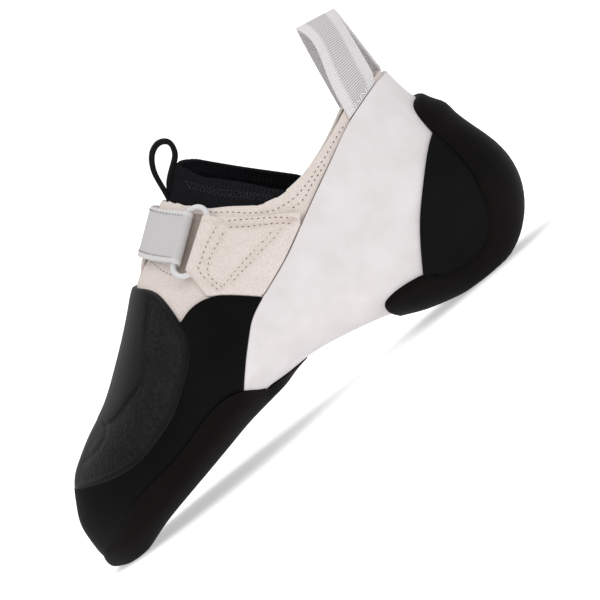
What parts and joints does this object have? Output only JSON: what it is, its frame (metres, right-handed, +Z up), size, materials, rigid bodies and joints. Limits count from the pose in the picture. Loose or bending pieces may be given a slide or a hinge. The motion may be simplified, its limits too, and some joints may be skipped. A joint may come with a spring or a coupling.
{
  "type": "climbing shoe",
  "caption": "Downturned left climbing shoe with a suede upper, knitted tongue, rubber rands, toe patch, sole and heel, a ring-and-strap closure and webbing pull loops.",
  "frame": {"origin": "centre of the heel's flat spot, on the floor the shoe stands on", "axes": "+Z up, -X towards the toe, -Y towards the outer side of the left foot"},
  "size_m": [0.246, 0.0896, 0.1348],
  "materials": {
    "suede": "brushed suede, matte",
    "knit": "fine stretch knit",
    "insole_board": "plain lining cloth",
    "black_rand_rubber": "matte black rubber",
    "patch_rubber": "satin charcoal rubber",
    "white_rubber": "smooth satin white rubber",
    "sole_rubber": "matte sticky rubber",
    "strap_weave": "fine diagonal weave",
    "ring_plastic": "smooth light grey plastic",
    "webbing": "ribbed grosgrain webbing"
  },
  "bodies": {
    "root": {"upper": "suede", "sock_tongue": "knit", "insole": "insole_board", "forefoot_rand": "black_rand_rubber", "toe_patch": "patch_rubber", "heel_rand": "white_rubber", "outsole": "sole_rubber", "heel_band": "sole_rubber", "heel_cup_outer": "patch_rubber", "heel_cup_inner": "patch_rubber", "side_panel_outer": "suede", "side_panel_inner": "suede", "strap": "strap_weave", "strap_ring": "ring_plastic", "ring_keeper": "suede", "tongue_loop": "knit", "heel_loop": "webbing"}
  },
  "joints": []
}
